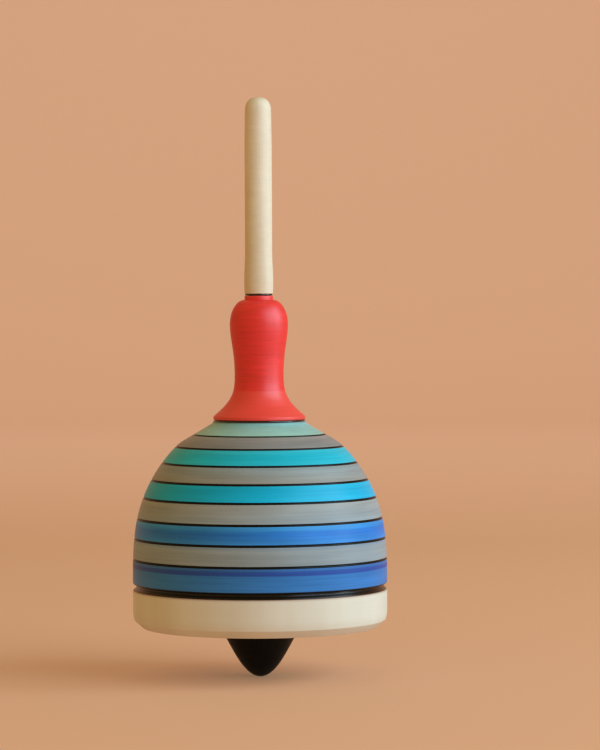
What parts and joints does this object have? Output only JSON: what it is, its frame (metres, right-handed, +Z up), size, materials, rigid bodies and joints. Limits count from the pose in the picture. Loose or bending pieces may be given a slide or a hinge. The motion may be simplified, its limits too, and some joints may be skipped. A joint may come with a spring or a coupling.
{
  "type": "spinning top",
  "caption": "Turned wooden spinning top with a striped dome on a pale disc, a black pointed tip, a long finger stem and a waisted hand grip that turns freely on it.",
  "frame": {"origin": "the tip's point of contact with the floor, on the spin axis", "axes": "+Z up along the spin axis, from the tip to the crown of the stem; the top is round about Z, so X and Y are free, and +Y is the way the front view looks"},
  "size_m": [0.075, 0.075, 0.1708],
  "materials": {
    "stem_wood": "satin waxed maple",
    "neck_black": "gloss black",
    "grip_red": "satin red stain with fine turning lines",
    "foot_black": "gloss black",
    "dome_paint": "satin paint in aqua, teal, cyan, blue and grey bands with black groove lines",
    "seam_black": "gloss black",
    "disc_wood": "satin waxed maple",
    "tip_black": "satin black lacquer"
  },
  "bodies": {
    "spinner": {"stem": "stem_wood", "neck_washer": "neck_black", "foot_washer": "foot_black", "dome": "dome_paint", "seam_ring": "seam_black", "base_disc": "disc_wood", "tip": "tip_black"},
    "handle": {"grip": "grip_red"}
  },
  "joints": [
    {"name": "grip_spin", "type": "hinge", "parent": "spinner", "child": "handle", "pos_m": [0, 0, 0.094], "axis": [0, 0, 1], "continuous": true}
  ]
}
